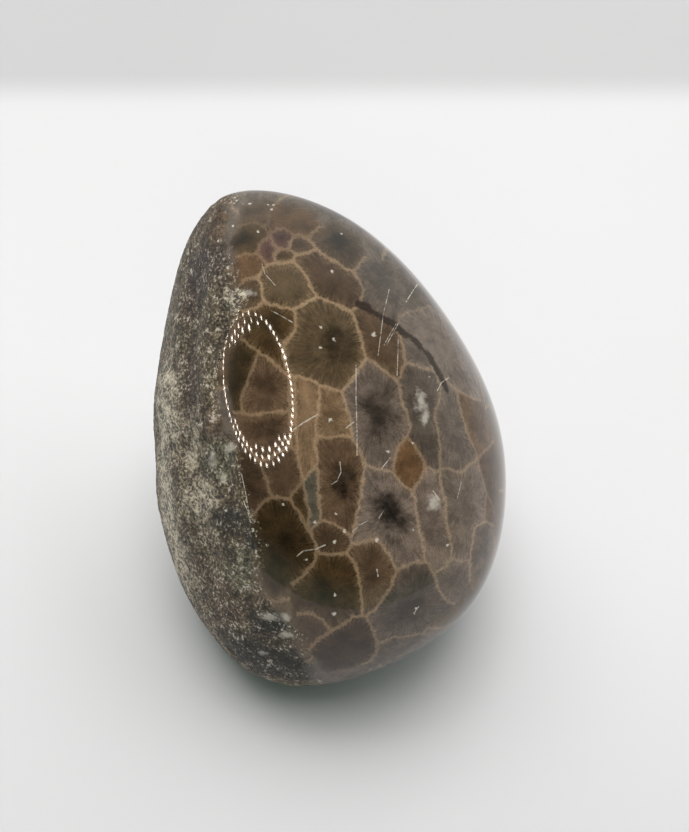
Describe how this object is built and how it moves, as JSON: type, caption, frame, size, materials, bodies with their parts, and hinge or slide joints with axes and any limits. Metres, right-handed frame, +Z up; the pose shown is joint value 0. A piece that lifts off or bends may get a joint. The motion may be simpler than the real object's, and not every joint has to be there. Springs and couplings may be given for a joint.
{
  "type": "petoskey stone",
  "caption": "Wave-worn cobble of fossil coral, polished on one side and left rough on the other, standing on a small flat spot.",
  "frame": {"origin": "centre of the stone's box, at the surface it stands on", "axes": "+Z up; -Y is where the polished dome faces; +X to the right of it, so the rough side is at -X"},
  "size_m": [0.0542, 0.0614, 0.0568],
  "materials": {
    "coral_stone": "polished fossil coral limestone, brown, with tan walls between dark rayed cells; the left side is unpolished, grey and grainy"
  },
  "bodies": {
    "root": {"petoskey_stone": "coral_stone"}
  },
  "joints": []
}
